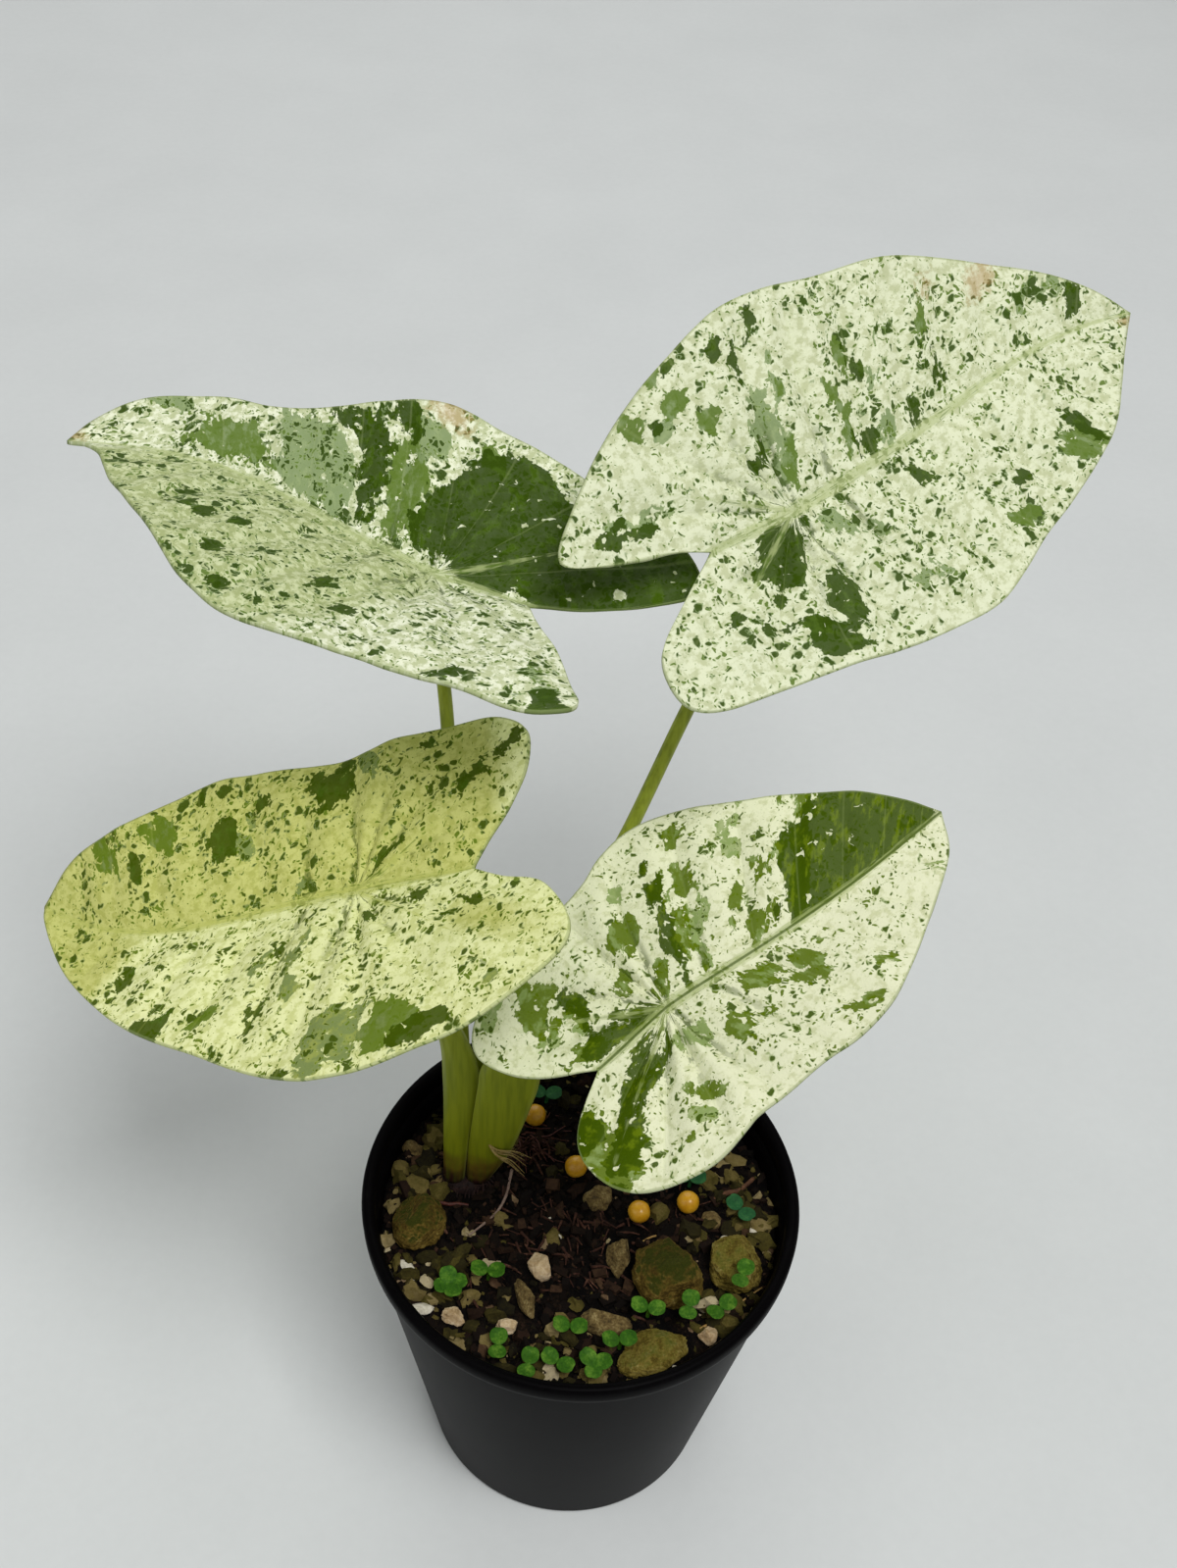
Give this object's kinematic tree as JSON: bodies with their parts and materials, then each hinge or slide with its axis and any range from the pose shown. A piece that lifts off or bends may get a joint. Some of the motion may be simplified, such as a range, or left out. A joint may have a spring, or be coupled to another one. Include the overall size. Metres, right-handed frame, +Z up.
{
  "type": "potted alocasia",
  "caption": "Young alocasia with large speckled heart-shaped leaves on long stalks, growing in gritty soil in a small black nursery pot.",
  "frame": {"origin": "middle of the pot's flat base, on the surface that it stands on", "axes": "+Z up, -Y towards the side that the reference view looks from, +X to that view's right"},
  "size_m": [0.1956, 0.139, 0.2482],
  "materials": {
    "pot_plastic": "black moulded nursery-pot plastic with a soft sheen",
    "soil_mix": "damp dark bark and grit potting mix",
    "corm_skin": "dark purple-brown fibrous corm skin",
    "leaf_blade": "cream leaf finely speckled and patched with green, satin",
    "leaf_blade_yellow": "yellow-lime leaf finely speckled and patched with olive green, satin",
    "leaf_stalk": "smooth olive-green stalk, satin",
    "mossy_stone": "rough stone with green and ochre moss",
    "brown_stone": "rough brown stone",
    "pale_stone": "pale cream pebble",
    "feed_bead": "orange-yellow coated feed bead",
    "seedling_green": "fresh green seedling",
    "bark": "dry brown bark"
  },
  "bodies": {
    "root": {"pot": "pot_plastic", "soil": "soil_mix", "corm": "corm_skin", "blade_back_left": "leaf_blade", "blade_back_right": "leaf_blade", "blade_front_left": "leaf_blade_yellow", "blade_front_right": "leaf_blade", "stalk_back_left": "leaf_stalk", "stalk_back_right": "leaf_stalk", "stalk_front_left": "leaf_stalk", "stalk_front_right": "leaf_stalk", "stone_mossy_large": "mossy_stone", "stone_mossy_left": "mossy_stone", "stone_mossy_right": "mossy_stone", "stone_mossy_flat": "mossy_stone", "stone_brown_mid": "brown_stone", "stone_brown_front": "brown_stone", "stone_chip_long": "brown_stone", "stone_beige": "pale_stone", "pebble_cream_right": "pale_stone", "pebble_cream_left": "pale_stone", "pebble_cream_mid": "pale_stone", "feed_bead_1": "feed_bead", "feed_bead_2": "feed_bead", "feed_bead_3": "feed_bead", "feed_bead_4": "feed_bead", "seedling_01": "seedling_green", "seedling_02": "seedling_green", "seedling_03": "seedling_green", "seedling_04": "seedling_green", "seedling_05": "seedling_green", "seedling_06": "seedling_green", "seedling_07": "seedling_green", "seedling_08": "seedling_green", "seedling_09": "seedling_green", "seedling_10": "seedling_green", "seedling_11": "seedling_green", "seedling_12": "seedling_green", "seedling_13": "seedling_green", "seedling_14": "seedling_green", "seedling_15": "seedling_green", "twig": "bark"}
  },
  "joints": []
}
